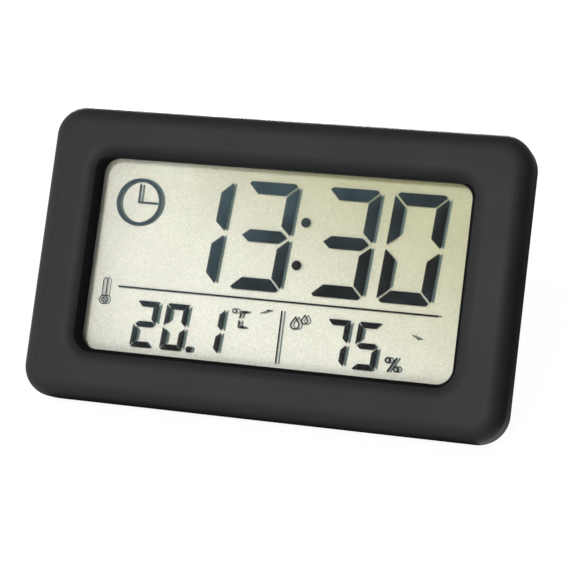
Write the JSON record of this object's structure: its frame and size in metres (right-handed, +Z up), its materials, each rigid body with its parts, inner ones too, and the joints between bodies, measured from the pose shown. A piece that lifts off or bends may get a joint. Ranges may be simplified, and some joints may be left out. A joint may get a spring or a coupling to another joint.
{
  "type": "thermometer hygrometer clock",
  "caption": "Slim room clock that leans on a folding rear stand, with a recessed reflective display of time, temperature and humidity, rear push buttons and a coin cell bay.",
  "frame": {"origin": "on the table, under the middle of the standing clock", "axes": "+X to the right as the face is read, +Y to the back, +Z up"},
  "size_m": [0.1, 0.035, 0.0573],
  "materials": {
    "case_plastic": "fine satin moulding texture",
    "button_plastic": "fine satin moulding texture",
    "clear_plastic": "polished clear sheet",
    "polariser_film": "clear film",
    "display_glass": "polished, with transparent electrodes",
    "reflector_film": "satin grey green",
    "foam_tape": "black adhesive tape",
    "zebra_rubber": "matt, banded",
    "white_plastic": "satin moulding",
    "board_laminate": "solder mask",
    "epoxy": "cast drop",
    "chip_ceramic": "fired, plated ends",
    "plated_steel": "nickel plated",
    "cell_steel": "drawn and polished",
    "screw_steel": "black plated",
    "sensor_plastic": "moulded",
    "switch_plastic": "moulded"
  },
  "bodies": {
    "case": {"front_case": "case_plastic", "back_cover": "case_plastic", "window_tape": "foam_tape", "display_window": "clear_plastic", "lcd_front_polariser": "polariser_film", "lcd_front_glass": "display_glass", "lcd_rear_glass": "display_glass", "lcd_reflector": "reflector_film", "zebra_strip": "zebra_rubber", "lcd_holder": "white_plastic", "main_board": "board_laminate", "chip_blob": "epoxy", "chip_capacitors": "chip_ceramic", "chip_resistors": "chip_ceramic", "watch_crystal": "plated_steel", "thermistor": "epoxy", "humidity_sensor": "sensor_plastic", "coin_cell": "cell_steel", "battery_contact_positive": "plated_steel", "battery_contact_negative": "plated_steel", "case_screws": "screw_steel", "board_screws": "screw_steel", "mode_switch": "switch_plastic", "set_switch": "switch_plastic", "up_switch": "switch_plastic", "down_switch": "switch_plastic"},
    "stand": {"stand": "case_plastic"},
    "battery_door": {"battery_door": "case_plastic"},
    "mode_button": {"mode_button": "button_plastic", "mode_switch_plunger": "switch_plastic"},
    "set_button": {"set_button": "button_plastic", "set_switch_plunger": "switch_plastic"},
    "up_button": {"up_button": "button_plastic", "up_switch_plunger": "switch_plastic"},
    "down_button": {"down_button": "button_plastic", "down_switch_plunger": "switch_plastic"}
  },
  "joints": [
    {"name": "stand_hinge", "type": "hinge", "parent": "case", "child": "stand", "pos_m": [0, 0.00981, 0.03567], "axis": [1, 0, 0], "range_deg": [-35, 0]},
    {"name": "battery_door_hinge", "type": "hinge", "parent": "case", "child": "battery_door", "pos_m": [0.031, 0.00965, 0.03177], "axis": [1, 0, 0], "range_deg": [0, 60]},
    {"name": "mode_press", "type": "slide", "parent": "case", "child": "mode_button", "axis": [0, -0.9063, 0.4226], "range_m": [0, 0.0005], "stiffness_N_per_m": 1000},
    {"name": "set_press", "type": "slide", "parent": "case", "child": "set_button", "axis": [0, -0.9063, 0.4226], "range_m": [0, 0.0005], "stiffness_N_per_m": 1000},
    {"name": "up_press", "type": "slide", "parent": "case", "child": "up_button", "axis": [0, -0.9063, 0.4226], "range_m": [0, 0.0005], "stiffness_N_per_m": 1000},
    {"name": "down_press", "type": "slide", "parent": "case", "child": "down_button", "axis": [0, -0.9063, 0.4226], "range_m": [0, 0.0005], "stiffness_N_per_m": 1000}
  ]
}
